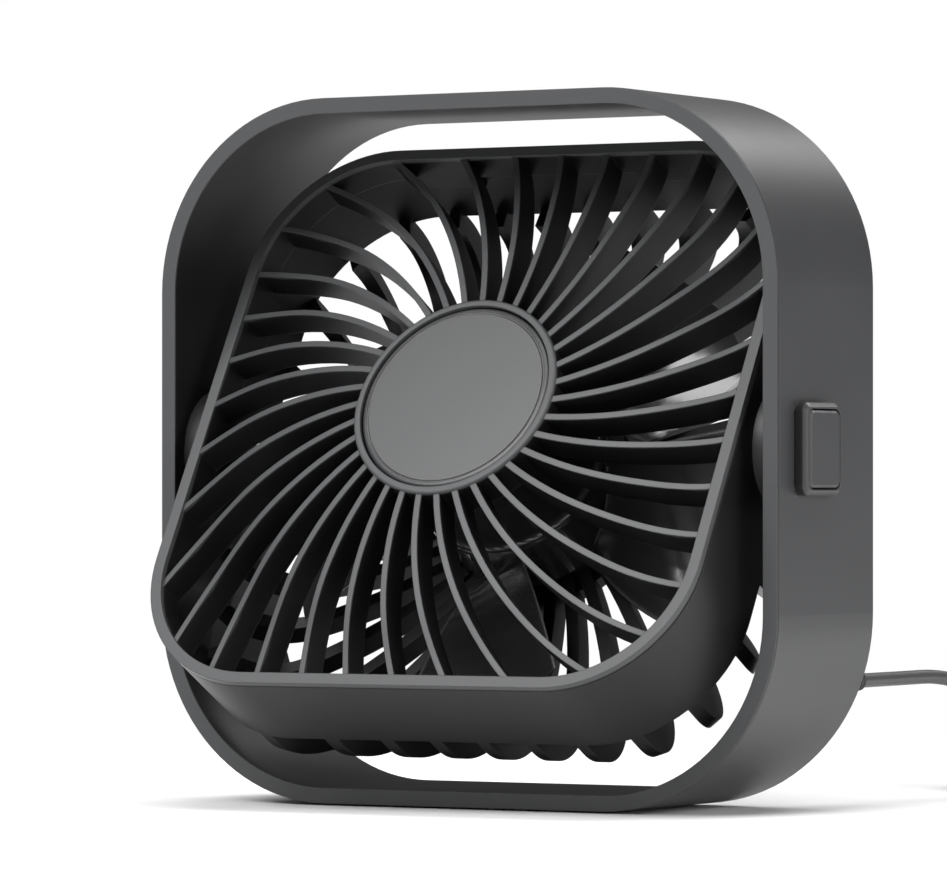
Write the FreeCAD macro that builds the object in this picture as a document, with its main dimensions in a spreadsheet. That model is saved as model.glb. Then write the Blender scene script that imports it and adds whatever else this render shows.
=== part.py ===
import FreeCAD, Part
import Sketcher
import math
import os

from FreeCAD import Placement, Rotation, Vector

# Square-framed USB desk fan: a fan head that tilts on two pivots inside a rounded-square frame.
# X is to the fan's left-right, +Y to its back, +Z up; the frame stands on its flat base at z = 0.
# Head sub-parts are drawn about the pivot with the fan's axis along Y, then tilted back.

doc = FreeCAD.newDocument("desk_fan")
sheet = doc.addObject("Spreadsheet::Sheet", "sizes")

SIZES = {
    # frame
    "frame_width": 146.0,
    "frame_height": 146.0,
    "frame_depth": 42.0,
    "frame_corner": 39.8,
    "frame_wall": 3.2,
    "skin_wall": 1.8,
    "flange_depth": 0.6,
    "seam_gap": 0.2,
    "foot_stand": 0.4,
    "foot_length": 44.0,
    "foot_width": 5.0,
    "foot_sink": 0.9,
    "foot_inset": 6.0,
    # pivots, shared by the frame and the head
    "pivot_forward": 4.4,
    "head_tilt": 30.0,
    "pod_radius": 13.0,
    "pod_depth": 4.3,
    "pod_wall": 1.2,
    "pin_radius": 3.0,
    "pin_bore": 1.5,
    "pin_clearance": 0.05,
    "pin_overhang": 1.3,
    "boss_radius": 6.5,
    "boss_depth": 6.6,
    "washer_radius": 7.5,
    "washer_depth": 1.0,
    "clip_radius": 5.0,
    "clip_depth": 0.8,
    "clip_gap": 0.3,
    # power button, switch and their board
    "button_forward": 5.8,
    "bezel_length": 16.0,
    "bezel_height": 18.6,
    "bezel_stand": 2.8,
    "bezel_wall": 0.75,
    "bezel_chamfer": 0.9,
    "bezel_corner": 2.2,
    "button_gap": 0.3,
    "button_depth": 3.9,
    "button_proud": 0.25,
    "button_chamfer": 0.5,
    "button_corner": 1.6,
    "button_travel": 0.5,
    "switch_size": 6.0,
    "switch_depth": 3.4,
    "plunger_radius": 1.7,
    "plunger_gap": 0.2,
    "plunger_sink": 1.1,
    "board_length": 10.0,
    "board_height": 14.0,
    "board_depth": 0.9,
    "switch_clearance": 0.5,
    # head shell
    "head_clearance": 8.9,
    "head_width": "=frame_width - 2 * head_clearance",
    "head_height": "=frame_height - 2 * head_clearance",
    "head_corner": 29.0,
    "head_front": 16.7,
    "head_rear": 25.4,
    "rim_width": 2.4,
    "rim_depth": 1.6,
    "shell_wall": 1.2,
    "shell_end": 7.5,
    "skirt_gap": 0.1,
    "skirt_depth": 6.0,
    "tab_length": 14.0,
    "tab_depth": 3.6,
    "tab_spread": 26.0,
    "rear_corner": 14.0,
    "fin_depth": 5.0,
    "fin_width": 2.7,
    "fin_count": 36,
    "fin_sweep": 16.0,
    "rear_disc_radius": 24.5,
    "rear_disc_depth": 3.0,
    # front grille
    "vane_count": 35,
    "vane_width": 1.35,
    "vane_depth": 7.0,
    "vane_sweep_rate": 0.4,
    "vane_turn": -2.1,
    "dome_rise": 5.3,
    "dome_edge": 0.9,
    "hub_radius": 23.0,
    "hub_wall": 1.5,
    "hub_depth": 8.5,
    "hub_stand": 0.3,
    "hub_round": 0.5,
    "hub_plate": 1.4,
    "cap_gap": 0.3,
    "cap_depth": 2.6,
    "cap_sink": 0.4,
    "cap_round": 0.7,
    # impeller and motor
    "blade_count": 5,
    "blade_tip": 54.0,
    "blade_turn": 20.0,
    "blade_trim": 3.0,
    "blade_overrun": 3.0,
    "root_chord": 22.0,
    "root_pitch": 36.0,
    "root_thickness": 2.4,
    "middle_chord": 38.0,
    "middle_pitch": 22.0,
    "middle_lean": 3.0,
    "middle_thickness": 2.2,
    "tip_chord": 48.0,
    "tip_pitch": 16.0,
    "tip_lean": 8.0,
    "tip_thickness": 2.0,
    "camber_share": 0.08,
    "rotor_radius": 21.8,
    "rotor_wall": 1.4,
    "rotor_front": 4.0,
    "rotor_depth": 15.0,
    "rotor_round": 2.2,
    "yoke_wall": 0.9,
    "magnet_wall": 1.8,
    "rotor_step": 1.0,
    "stator_radius": 15.6,
    "stator_depth": 6.0,
    "stator_slots": 9,
    "slot_width": 2.0,
    "sleeve_radius": 3.5,
    "sleeve_bore": 1.55,
    "sleeve_gap": 1.2,
    "shaft_radius": 1.5,
    "shaft_gap": 0.5,
    "base_radius": 19.0,
    "base_depth": 1.4,
    "motor_board_radius": 14.0,
    "motor_board_depth": 1.0,
    "screw_radius": 1.1,
    "screw_head_radius": 2.0,
    "screw_head_depth": 1.2,
    "screw_sink": 0.4,
    "screw_circle": 16.5,
    "screw_count": 3,
    # cord and plug
    "cord_diameter": 3.0,
    "gland_radius": 2.6,
    "gland_length": 10.0,
    "gland_inset": 7.6,
    "gland_rise": 26.0,
    "relief_length": 8.0,
    "relief_root": 2.4,
    "relief_tip": 2.1,
    "coil_radius": 18.0,
    "coil_width": 9.4,
    "coil_height": 12.0,
    "coil_cover": 0.15,
    "tie_width": 5.0,
    "tie_wall": 0.8,
    "plug_length": 17.0,
    "plug_width": 15.0,
    "plug_height": 7.6,
    "plug_round": 1.4,
    "neck_length": 4.6,
    "neck_width": 6.8,
    "neck_height": 5.0,
    "neck_round": 1.0,
    "usb_length": 12.0,
    "usb_width": 12.0,
    "usb_height": 4.5,
    "usb_wall": 0.3,
    "usb_round": 0.6,
    "usb_window": 2.4,
    "usb_window_side": 2.55,
    "usb_window_along": 5.2,
    "tongue_height": 1.9,
    "tongue_recess": 1.0,
    "contact_count": 4,
    "contact_pitch": 2.3,
    "contact_width": 1.1,
    "contact_depth": 0.2,
}

for row, (alias, value) in enumerate(SIZES.items(), start=1):
    sheet.set("A%d" % row, alias)
    sheet.set("B%d" % row, str(value))
    sheet.setAlias("B%d" % row, alias)
doc.recompute()


def size(alias):
    """The value of a named cell of the sheet."""
    return float(sheet.get(alias))


def bind(obj, **cells):
    """Ties properties of obj to expressions in which a cell is written as its alias."""
    for prop, expression in cells.items():
        obj.setExpression(prop, expand(expression))
    return obj


def expand(expression):
    """Puts the sheet's name before every alias in an expression."""
    words = []
    word = ""
    for letter in expression + " ":
        if letter.isalnum() or letter == "_":
            word += letter
            continue
        words.append("sizes." + word if word in SIZES else word)
        words.append(letter)
        word = ""
    return "".join(words).strip()


finished = []


def finish(obj, label, placement=None):
    """Names a finished sub-part after its file and puts it in its place."""
    obj.Label = label
    if placement is not None:
        obj.Placement = placement
    finished.append(obj)
    return obj


# ---- shared places ----------------------------------------------------------------------------

frame_middle = size("foot_stand") + size("frame_height") / 2
pivot = Vector(0, -size("pivot_forward"), frame_middle)
HEAD = Placement(pivot, Rotation(Vector(1, 0, 0), -size("head_tilt")))
UPRIGHT = Placement(Vector(0, 0, frame_middle), Rotation())
liner_face = size("frame_width") / 2 - size("frame_wall")
gland_start = Vector(
    size("frame_width") / 2 - size("gland_inset"),
    size("frame_depth") / 2 - size("gland_length"),
    size("gland_rise") - frame_middle,
)


# ---- ways to make pieces -----------------------------------------------------------------------


def cylinder(name, radius, depth, start, direction):
    """A bound Part::Cylinder that starts at a point and runs along a direction."""
    obj = doc.addObject("Part::Cylinder", name)
    bind(obj, Radius=radius, Height=depth)
    obj.Placement = Placement(start, Rotation(Vector(0, 0, 1), direction))
    return obj


def box(name, length, width, height, corner):
    """A bound Part::Box from its lowest corner."""
    obj = doc.addObject("Part::Box", name)
    bind(obj, Length=length, Width=width, Height=height)
    obj.Placement = Placement(corner, Rotation())
    return obj


def cut(name, base, *tools):
    """The first object less the others, as Part::Cut objects."""
    for number, tool in enumerate(tools):
        obj = doc.addObject("Part::Cut", "%s_cut%d" % (name, number))
        obj.Base = base
        obj.Tool = tool
        base = obj
    return base


def fuse(name, *pieces):
    """The pieces joined as one Part::MultiFuse."""
    obj = doc.addObject("Part::MultiFuse", name)
    obj.Shapes = list(pieces)
    return obj


def rectangle(sketch, width, height):
    """Draws a centred rectangle in a sketch, its two sizes bound."""
    w = 20.0
    h = 10.0
    corners = [Vector(-w, -h, 0), Vector(w, -h, 0), Vector(w, h, 0), Vector(-w, h, 0)]
    first = sketch.GeometryCount
    for i in range(4):
        sketch.addGeometry(Part.LineSegment(corners[i], corners[(i + 1) % 4]), False)
    for i in range(4):
        sketch.addConstraint(
            Sketcher.Constraint("Coincident", first + i, 2, first + (i + 1) % 4, 1)
        )
    for i in (0, 2):
        sketch.addConstraint(Sketcher.Constraint("Horizontal", first + i))
    for i in (1, 3):
        sketch.addConstraint(Sketcher.Constraint("Vertical", first + i))
    sketch.addConstraint(Sketcher.Constraint("Symmetric", first, 1, first + 1, 2, -1, 1))
    across = sketch.addConstraint(
        Sketcher.Constraint("DistanceX", first, 1, first, 2, 2 * w)
    )
    up = sketch.addConstraint(
        Sketcher.Constraint("DistanceY", first + 1, 1, first + 1, 2, 2 * h)
    )
    sketch.setExpression("Constraints[%d]" % across, expand(width))
    sketch.setExpression("Constraints[%d]" % up, expand(height))


def upright_edges(body_shape, half_width):
    """Names of a prism's edges along Y, at the corners that lie half_width from its middle."""
    names = []
    for number, edge in enumerate(body_shape.Edges, start=1):
        ends = [vertex.Point for vertex in edge.Vertexes]
        if len(ends) == 2 and abs(ends[0].y - ends[1].y) > 1e-6:
            if abs(ends[0].x - ends[1].x) < 1e-6 and abs(abs(ends[0].x) - half_width) < 1e-4:
                names.append("Edge%d" % number)
    return names


def slab(name, width, height, corner, depth, rear):
    """A rounded-square PartDesign prism from y = rear forwards; sizes are expressions."""
    body = doc.addObject("PartDesign::Body", name)
    sketch = body.newObject("Sketcher::SketchObject", name + "_outline")
    plane = [f for f in body.Origin.OriginFeatures if f.Role == "XZ_Plane"][0]
    sketch.AttachmentSupport = [(plane, "")]
    sketch.MapMode = "FlatFace"
    rectangle(sketch, width, height)
    pad = body.newObject("PartDesign::Pad", name + "_pad")
    pad.Profile = sketch
    bind(pad, Length=depth)
    doc.recompute()
    fillet = body.newObject("PartDesign::Fillet", name + "_corners")
    half = pad.Shape.BoundBox.XMax
    fillet.Base = (pad, upright_edges(pad.Shape, half))
    bind(fillet, Radius=corner)
    body.Tip = fillet
    body.Placement = Placement(Vector(0, rear, 0), Rotation())
    return body


def along_y(start, depth, radius_out, radius_in, name):
    """A bound tube about the fan's axis, from y = start backwards; radius_in may be None."""
    outer = cylinder(name + "_outer", radius_out, depth, Vector(0, start, 0), Vector(0, 1, 0))
    if radius_in is None:
        return outer
    inner = cylinder(name + "_inner", radius_in, depth, Vector(0, start, 0), Vector(0, 1, 0))
    return cut(name, outer, inner)


def feature(label, shape, placement=None):
    """A sub-part whose shape Part's own functions made."""
    obj = doc.addObject("Part::Feature", label + "_shape")
    obj.Shape = shape
    return finish(obj, label, placement)


# ---- frame: skin band, liner band with its front flange, feet -----------------------------------

front = -size("frame_depth") / 2
rear = size("frame_depth") / 2
button_middle = Vector(size("frame_width") / 2, -size("button_forward"), 0)


def button_window(name):
    """A box through the right wall, as large as the bezel."""
    return box(
        name,
        "frame_wall * 4",
        "bezel_length",
        "bezel_height",
        button_middle
        - Vector(size("frame_wall") * 2, size("bezel_length") / 2, size("bezel_height") / 2),
    )


def foot_strips(name):
    """Three rubber strips let into the base, standing foot_stand proud of it."""
    strips = []
    for number, y in enumerate((front + size("foot_inset"), 0, rear - size("foot_inset"))):
        strips.append(
            box(
                "%s%d" % (name, number),
                "foot_length",
                "foot_width",
                "foot_stand + foot_sink",
                Vector(-size("foot_length") / 2, y - size("foot_width") / 2, -frame_middle),
            )
        )
    return strips


skin = cut(
    "skin",
    slab(
        "skin_solid",
        "frame_width",
        "frame_height",
        "frame_corner",
        "frame_depth - flange_depth - seam_gap",
        rear,
    ),
    slab(
        "skin_hollow",
        "frame_width - 2 * skin_wall",
        "frame_height - 2 * skin_wall",
        "frame_corner - skin_wall",
        "frame_depth",
        rear,
    ),
    button_window("skin_window"),
    *foot_strips("skin_pocket"),
)
finish(skin, "frame_skin", UPRIGHT)

switch_window = box(
    "liner_window",
    "frame_wall * 2",
    "switch_size + 2 * switch_clearance",
    "switch_size + 2 * switch_clearance",
    button_middle
    - Vector(
        size("frame_wall") * 1.5,
        size("switch_size") / 2 + size("switch_clearance"),
        size("switch_size") / 2 + size("switch_clearance"),
    ),
)
liner = cut(
    "liner",
    fuse(
        "liner_walls",
        slab(
            "liner_solid",
            "frame_width - 2 * skin_wall",
            "frame_height - 2 * skin_wall",
            "frame_corner - skin_wall",
            "frame_depth",
            rear,
        ),
        slab(
            "liner_flange",
            "frame_width",
            "frame_height",
            "frame_corner",
            "flange_depth",
            front + size("flange_depth"),
        ),
    ),
    slab(
        "liner_hollow",
        "frame_width - 2 * frame_wall",
        "frame_height - 2 * frame_wall",
        "frame_corner - frame_wall",
        "frame_depth",
        rear,
    ),
    switch_window,
    cylinder("gland_seat", "gland_radius", "gland_length", gland_start, Vector(0, 1, 0)),
)
finish(liner, "frame_liner", UPRIGHT)
finish(fuse("feet", *foot_strips("foot")), "foot_strips", UPRIGHT)


# ---- pivots: a pod on each side, hollow pin, friction washer and clip -----------------------------

pod_face = liner_face - size("pod_depth")
washer_face = pod_face - size("washer_depth")
head_side = size("head_width") / 2
boss_face = head_side - size("boss_depth")
clip_face = boss_face - size("clip_gap")


def pivot_side(side, name):
    """The four pieces of one pivot; side is 1 on the right and -1 on the left."""
    inwards = Vector(-side, 0, 0)

    def turned(part, radius, depth, x):
        return cylinder("%s_%s" % (name, part), radius, depth, Vector(side * x, 0, 0), inwards)

    at_pivot = Placement(pivot, Rotation())
    pod = cut(
        name + "_pod",
        turned("pod_solid", "pod_radius", "pod_depth", liner_face),
        turned("pod_hollow", "pod_radius - pod_wall", "pod_depth - pod_wall", liner_face),
        turned("pod_bore", "pin_radius", "pod_depth", liner_face),
    )
    finish(pod, "pivot_pod_" + name, at_pivot)
    pin_start = pod_face + size("pod_wall")
    pin_length = (
        "pod_wall + frame_width / 2 - frame_wall - pod_depth"
        " - head_width / 2 + boss_depth + clip_gap + clip_depth + pin_overhang / 2"
    )
    pin = cut(
        name + "_pin",
        turned("pin_solid", "pin_radius", pin_length, pin_start),
        turned("pin_hollow", "pin_bore", pin_length, pin_start),
    )
    finish(pin, "pivot_pin_" + name, at_pivot)
    washer = cut(
        name + "_washer",
        turned("washer_solid", "washer_radius", "washer_depth", pod_face),
        turned("washer_hole", "pin_radius", "washer_depth", pod_face),
    )
    finish(washer, "pivot_washer_" + name, at_pivot)
    clip = cut(
        name + "_clip",
        turned("clip_solid", "clip_radius", "clip_depth", clip_face),
        turned("clip_hole", "pin_radius", "clip_depth", clip_face),
    )
    finish(clip, "pivot_clip_" + name, at_pivot)


pivot_side(1, "right")
pivot_side(-1, "left")


# ---- power button, its bezel, tact switch, plunger and board --------------------------------------


def rounded_plate(length, height, depth, corner, chamfer, x):
    """A plate across X from x outwards: rounded corners, chamfered outer edge."""
    plate = Part.makeBox(depth, length, height, Vector(x, -length / 2, -height / 2))
    uprights = [e for e in plate.Edges if e.BoundBox.XLength > depth / 2]
    plate = plate.makeFillet(corner, uprights)
    outer = [e for e in plate.Edges if e.BoundBox.XMin > x + depth - 1e-6]
    return plate.makeChamfer(chamfer, outer) if chamfer else plate


at_button = Placement(Vector(0, -size("button_forward"), frame_middle), Rotation())
outer_face = size("frame_width") / 2
skin_inside = outer_face - size("skin_wall")
bezel_depth = size("skin_wall") + size("bezel_stand")

bezel = rounded_plate(
    size("bezel_length"),
    size("bezel_height"),
    bezel_depth,
    size("bezel_corner"),
    size("bezel_chamfer"),
    skin_inside,
)
bezel_opening = rounded_plate(
    size("bezel_length") - 2 * size("bezel_wall") - size("bezel_chamfer"),
    size("bezel_height") - 2 * size("bezel_wall") - size("bezel_chamfer"),
    bezel_depth,
    size("button_corner") + size("button_gap"),
    0,
    skin_inside,
)
bezel = bezel.cut(bezel_opening)
window_corners = Part.makeBox(
    size("skin_wall"),
    size("bezel_length"),
    size("bezel_height"),
    Vector(skin_inside, -size("bezel_length") / 2, -size("bezel_height") / 2),
).cut(bezel_opening)
feature("button_bezel", bezel.fuse(window_corners).removeSplitter(), at_button)

button_top = outer_face + size("bezel_stand") + size("button_proud")
button_bottom = button_top - size("button_depth")
button = rounded_plate(
    size("bezel_length") - 2 * (size("bezel_wall") + size("button_gap")) - size("bezel_chamfer"),
    size("bezel_height") - 2 * (size("bezel_wall") + size("button_gap")) - size("bezel_chamfer"),
    size("button_depth"),
    size("button_corner"),
    size("button_chamfer"),
    button_bottom,
)
feature("power_button", button, at_button)

inwards = Vector(-1, 0, 0)
board_face = pod_face + size("pod_wall")
switch_face = board_face + size("board_depth")
switch_top = switch_face + size("switch_depth")
bore_depth = size("plunger_sink") + size("button_travel")

board = box(
    "board_plate",
    "board_depth",
    "board_length",
    "board_height",
    Vector(board_face, -size("board_length") / 2, -size("board_height") / 2),
)
finish(board, "switch_board")
board.Placement = at_button.multiply(board.Placement)

switch = cut(
    "switch",
    box(
        "switch_block",
        "switch_depth",
        "switch_size",
        "switch_size",
        Vector(switch_face, -size("switch_size") / 2, -size("switch_size") / 2),
    ),
    cylinder(
        "switch_bore",
        "plunger_radius + plunger_gap",
        "plunger_sink + button_travel",
        Vector(switch_top, 0, 0),
        inwards,
    ),
)
finish(switch, "tact_switch", at_button)
plunger = Part.makeCylinder(
    size("plunger_radius"),
    button_bottom - switch_top + size("plunger_sink"),
    Vector(button_bottom, 0, 0),
    inwards,
)
feature("switch_plunger", plunger, at_button)


# ---- head: front cover with its rim, skirt, snap tabs, vanes and hub ring --------------------------

half_head = size("head_width") / 2
corner_reach = math.hypot(size("head_width"), size("head_height")) / 2
rim_front = -size("head_front")
rim_back = rim_front + size("rim_depth")
axis_point = Vector(0, 0, 0)
axis = Vector(0, 1, 0)


def rounded_prism(inset, start, end):
    """A rounded-square prism of the head's outline, inset all round, from y = start to y = end."""
    width = size("head_width") - 2 * inset
    height = size("head_height") - 2 * inset
    prism = Part.makeBox(width, end - start, height, Vector(-width / 2, start, -height / 2))
    uprights = [e for e in prism.Edges if e.BoundBox.YLength > (end - start) / 2]
    return prism.makeFillet(size("head_corner") - inset, uprights)


def strip(inner, outer, sweep_rate, base_angle, width, start, end):
    """A curved radial strip of even width, extruded along Y: a vane or fin before it is trimmed."""
    middle = (inner + outer) / 2

    def at(radius, side):
        turn = math.radians(base_angle + sweep_rate * (radius - inner))
        turn += side * math.asin(width / 2 / radius)
        return Vector(radius * math.cos(turn), start, radius * math.sin(turn))

    sides = []
    for side in (-1, 1):
        sides.append(Part.Arc(at(inner, side), at(middle, side), at(outer, side)).toShape())
    ends = [Part.makeLine(at(radius, -1), at(radius, 1)) for radius in (inner, outer)]
    outline = Part.Wire(Part.__sortEdges__(sides + ends))
    return Part.Face(outline).extrude(Vector(0, end - start, 0))


def dome(offset):
    """Points of the grille's front profile, out along X, moved back by offset."""
    edge = half_head * 1.25
    points = []
    for step in range(9):
        radius = edge * step / 8
        fall = min(radius / half_head, 1.0) ** 3
        y = -(size("head_front") + size("dome_rise")) + size("dome_rise") * fall
        points.append(Vector(radius, y + size("dome_edge") * fall + offset, 0))
    return points


def dome_body(offset, depth):
    """A solid of revolution, depth thick, behind the grille's front profile."""
    near = dome(offset)
    far = dome(offset + depth)
    front_curve = Part.BSplineCurve()
    front_curve.interpolate(near)
    back_curve = Part.BSplineCurve()
    back_curve.interpolate(far)
    edges = [
        front_curve.toShape(),
        Part.makeLine(near[-1], far[-1]),
        back_curve.toShape(),
        Part.makeLine(near[0], far[0]),
    ]
    face = Part.Face(Part.Wire(Part.__sortEdges__(edges)))
    return face.revolve(axis_point, axis, 360)


hub_radius = size("hub_radius")
hub_front = -(size("head_front") + size("dome_rise") + size("hub_stand"))
skirt_inset = size("shell_wall") + size("skirt_gap")

vane_blanks = []
for number in range(int(size("vane_count"))):
    vane_blanks.append(
        strip(
            hub_radius - size("hub_wall") / 2,
            corner_reach,
            size("vane_sweep_rate"),
            number * 360.0 / size("vane_count") + size("vane_turn"),
            size("vane_width"),
            hub_front,
            rim_back + size("skirt_depth"),
        )
    )
vane_space = dome_body(0, size("vane_depth")).common(
    rounded_prism((skirt_inset + size("rim_width")) / 2, hub_front, rim_back + size("skirt_depth"))
)
vanes = [blank.common(vane_space) for blank in vane_blanks]

rim = rounded_prism(0, rim_front, rim_back)
skirt = rounded_prism(skirt_inset, rim_front, rim_back + size("skirt_depth"))
inside = rounded_prism(size("rim_width"), rim_front, rim_back + size("skirt_depth"))
cover = rim.fuse(skirt).cut(inside)

tab_thickness = size("rim_width") - skirt_inset
tabs = []
for turn in range(4):
    for along in (-size("tab_spread"), size("tab_spread")):
        reach = size("head_height") / 2 if turn % 2 == 0 else half_head
        tab = Part.makeBox(
            size("tab_length"),
            size("tab_depth"),
            tab_thickness,
            Vector(
                along - size("tab_length") / 2,
                rim_back + size("skirt_depth"),
                reach - size("rim_width"),
            ),
        )
        tab.rotate(axis_point, axis, turn * 90)
        tabs.append(tab)

hub_ring = Part.makeCylinder(hub_radius, size("hub_depth"), Vector(0, hub_front, 0), axis)
ring_edge = [e for e in hub_ring.Edges if e.BoundBox.YMax < hub_front + 1e-6]
hub_ring = hub_ring.makeFillet(size("hub_round"), ring_edge)
hub_ring = hub_ring.cut(
    Part.makeCylinder(hub_radius - size("hub_wall"), size("hub_depth"), Vector(0, hub_front, 0), axis)
)
plate_front = hub_front + size("cap_sink") + size("cap_depth")
hub_plate = Part.makeCylinder(
    hub_radius - size("hub_wall") / 2, size("hub_plate"), Vector(0, plate_front, 0), axis
)
cover = cover.fuse(vanes + tabs + [hub_ring, hub_plate]).removeSplitter()
feature("front_cover", cover, HEAD)

cap_radius = hub_radius - size("hub_wall") - size("cap_gap")
cap = Part.makeCylinder(cap_radius, size("cap_depth"), Vector(0, hub_front + size("cap_sink"), 0), axis)
cap_edge = [e for e in cap.Edges if e.BoundBox.YMax < hub_front + size("cap_sink") + 1e-6]
feature("hub_cap", cap.makeFillet(size("cap_round"), cap_edge), HEAD)


# ---- head: rear shell with its band, cage of fins, rear disc and pivot bosses -----------------------

shell_start = rim_back + size("seam_gap")
cage_start = size("shell_end") - size("shell_wall")
cage_end = size("head_rear")


def bowl(inset):
    """The rounded-square head from the band's rear back, its rear edge rounded, inset all round."""
    back = cage_end - inset
    solid = rounded_prism(inset, 0, back)
    rim_edges = [e for e in solid.Edges if e.BoundBox.YMin > back - 1e-6]
    return solid.makeFillet(size("rear_corner") - inset / 2, rim_edges)


cage_wall = bowl(0).cut(bowl(size("fin_depth")))
cage_wall = cage_wall.common(rounded_prism(0, cage_start, cage_end))
disc_radius = size("rear_disc_radius")
fins = []
for number in range(int(size("fin_count"))):
    blank = strip(
        disc_radius - size("fin_depth") / 2,
        corner_reach,
        -size("fin_sweep") / half_head,
        number * 360.0 / size("fin_count"),
        size("fin_width"),
        cage_start,
        cage_end,
    )
    fins.append(blank.common(cage_wall))

band = rounded_prism(0, shell_start, size("shell_end")).cut(
    rounded_prism(size("shell_wall"), shell_start, size("shell_end"))
)
rear_disc = Part.makeCylinder(
    disc_radius,
    size("rear_disc_depth"),
    Vector(0, cage_end - size("rear_disc_depth"), 0),
    axis,
)
screw_spots = []
for number in range(int(size("screw_count"))):
    turn = math.radians(90 + number * 360.0 / size("screw_count"))
    screw_spots.append(
        Vector(size("screw_circle") * math.cos(turn), 0, size("screw_circle") * math.sin(turn))
    )
screw_seat = cage_end - size("screw_head_depth") - size("screw_sink")
for spot in screw_spots:
    rear_disc = rear_disc.cut(
        Part.makeCylinder(size("screw_radius"), size("rear_disc_depth") * 2, spot + axis * 20, axis)
    )
    rear_disc = rear_disc.cut(
        Part.makeCylinder(
            size("screw_head_radius") + size("seam_gap"),
            size("rear_disc_depth"),
            spot + axis * screw_seat,
            axis,
        )
    )

shell = band.fuse(fins + [rear_disc])
bore_radius = size("pin_radius") + size("pin_clearance")
for side in (-1, 1):
    outwards = Vector(side, 0, 0)
    boss = Part.makeCylinder(
        size("boss_radius"),
        size("boss_depth") - size("shell_wall") / 2,
        Vector(side * boss_face, 0, 0),
        outwards,
    )
    shell = shell.fuse(boss)
    shell = shell.cut(
        Part.makeCylinder(
            bore_radius, size("boss_depth") * 2, Vector(side * (boss_face - 1), 0, 0), outwards
        )
    )
feature("rear_shell", shell.removeSplitter(), HEAD)


# ---- motor: base plate, board, bearing sleeve, stator, screws ---------------------------------------

base_front = cage_end - size("rear_disc_depth") - size("base_depth")
base = Part.makeCylinder(size("base_radius"), size("base_depth"), Vector(0, base_front, 0), axis)
for spot in screw_spots:
    base = base.cut(
        Part.makeCylinder(size("screw_radius"), size("base_depth"), spot + axis * base_front, axis)
    )
feature("motor_base", base, HEAD)

board_front = base_front - size("motor_board_depth")
sleeve_front = size("rotor_front") + size("rotor_wall") + size("yoke_wall") + size("sleeve_gap")
stator_front = sleeve_front + size("rotor_step")

finish(
    cut(
        "motor_board_cut",
        along_y(board_front, "motor_board_depth", "motor_board_radius", "sleeve_radius", "mboard"),
    ),
    "motor_board",
    HEAD,
)
sleeve = Part.makeCylinder(
    size("sleeve_radius"), base_front - sleeve_front, Vector(0, sleeve_front, 0), axis
).cut(Part.makeCylinder(size("sleeve_bore"), base_front, Vector(0, 0, 0), axis))
feature("bearing_sleeve", sleeve, HEAD)

stator = Part.makeCylinder(
    size("stator_radius"), size("stator_depth"), Vector(0, stator_front, 0), axis
)
for number in range(int(size("stator_slots"))):
    slot = Part.makeBox(
        size("stator_radius") / 2,
        size("stator_depth"),
        size("slot_width"),
        Vector(size("stator_radius") * 0.6, stator_front, -size("slot_width") / 2),
    )
    slot.rotate(axis_point, axis, number * 360.0 / size("stator_slots"))
    stator = stator.cut(slot)
stator = stator.cut(
    Part.makeCylinder(size("sleeve_radius"), size("stator_depth"), Vector(0, stator_front, 0), axis)
)
feature("stator", stator, HEAD)

screws = []
for spot in screw_spots:
    shank = Part.makeCylinder(
        size("screw_radius"), screw_seat - base_front, spot + axis * base_front, axis
    )
    head = Part.makeCylinder(
        size("screw_head_radius"), size("screw_head_depth"), spot + axis * screw_seat, axis
    )
    screws.append(shank.fuse(head).removeSplitter())
feature("motor_screws", Part.makeCompound(screws), HEAD)


# ---- impeller: hub cup, blades, steel yoke, magnet ring and shaft -----------------------------------

rotor_front = size("rotor_front")
rotor_radius = size("rotor_radius")
hub_cup = Part.makeCylinder(rotor_radius, size("rotor_depth"), Vector(0, rotor_front, 0), axis)
cup_edge = [e for e in hub_cup.Edges if e.BoundBox.YMax < rotor_front + 1e-6]
hub_cup = hub_cup.makeFillet(size("rotor_round"), cup_edge)
cup_hollow = Part.makeCylinder(
    rotor_radius - size("rotor_wall"),
    size("rotor_depth"),
    Vector(0, rotor_front + size("rotor_wall"), 0),
    axis,
)


def blade_section(radius, chord, pitch, lean, thickness):
    """A closed arc-backed section at a radius along X; pitch in degrees from the plane of rotation."""
    turn = math.radians(pitch)
    middle_y = rotor_front + size("rotor_depth") / 2
    forward = Vector(0, -math.sin(turn), math.cos(turn))
    normal = Vector(0, math.cos(turn), math.sin(turn))
    middle = Vector(radius, middle_y, lean)
    nose = middle + forward * (chord / 2)
    tail = middle - forward * (chord / 2)
    camber = normal * (chord * size("camber_share"))
    back = Part.Arc(tail, middle + camber + normal * (thickness / 2), nose).toShape()
    face = Part.Arc(nose, middle + camber - normal * (thickness / 2), tail).toShape()
    return Part.Wire([back, face])


blade = Part.makeLoft(
    [
        blade_section(
            rotor_radius - size("rotor_wall") / 2,
            size("root_chord"),
            size("root_pitch"),
            0.0,
            size("root_thickness"),
        ),
        blade_section(
            (rotor_radius + size("blade_tip")) / 2,
            size("middle_chord"),
            size("middle_pitch"),
            size("middle_lean"),
            size("middle_thickness"),
        ),
        blade_section(
            size("blade_tip") + size("blade_overrun"),
            size("tip_chord"),
            size("tip_pitch"),
            size("tip_lean"),
            size("tip_thickness"),
        ),
    ],
    True,
)
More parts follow.
